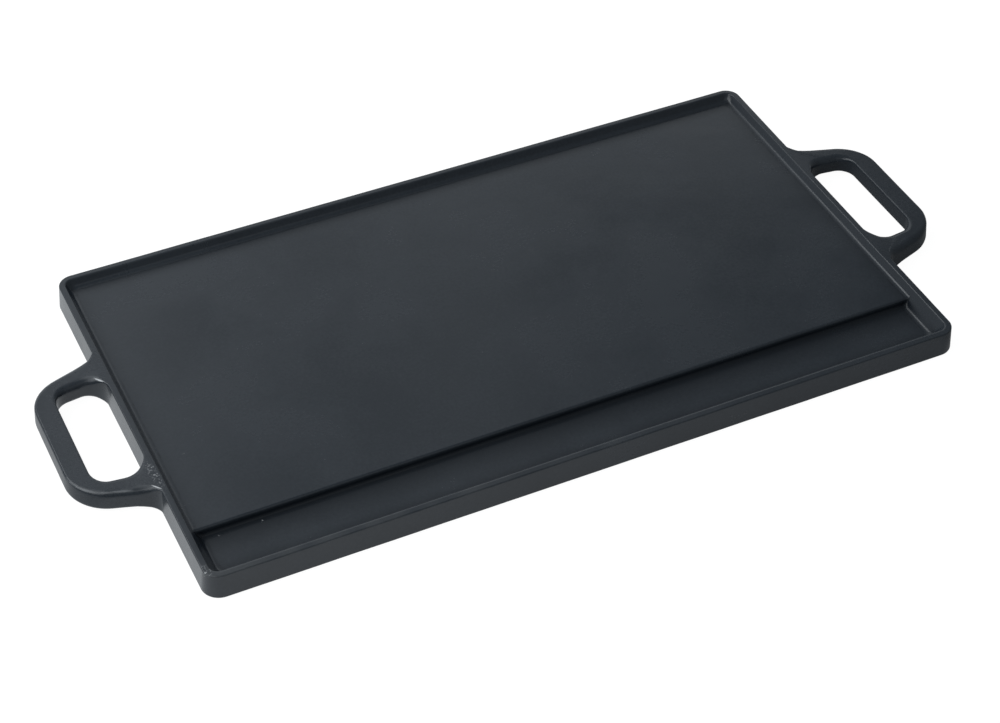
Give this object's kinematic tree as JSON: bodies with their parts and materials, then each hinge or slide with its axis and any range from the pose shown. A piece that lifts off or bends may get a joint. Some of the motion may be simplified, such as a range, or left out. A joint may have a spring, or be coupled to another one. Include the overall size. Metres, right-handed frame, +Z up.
{
  "type": "camp griddle plate",
  "caption": "Rectangular cast-iron camp griddle with a raised rim, a grease trough along its front, a loop handle on each end and a ribbed grill side underneath.",
  "frame": {"origin": "under the middle of the plate, on the surface that it lies on", "axes": "+X along the plate towards its right handle, +Y from the grease trough at the front to the back, +Z up"},
  "size_m": [0.5042, 0.2446, 0.0147],
  "materials": {
    "seasoned_iron": "satin seasoned black with a fine sand-cast grain",
    "worn_iron": "satin seasoned black, rubbed paler on its edges",
    "grill_iron": "matte seasoned black"
  },
  "bodies": {
    "root": {"cooking_deck": "seasoned_iron", "trough_step": "seasoned_iron", "grease_trough": "seasoned_iron", "front_rim": "seasoned_iron", "back_rim": "seasoned_iron", "left_rim": "seasoned_iron", "right_rim": "seasoned_iron", "left_handle": "worn_iron", "right_handle": "worn_iron", "grill_ribs": "grill_iron"}
  },
  "joints": []
}
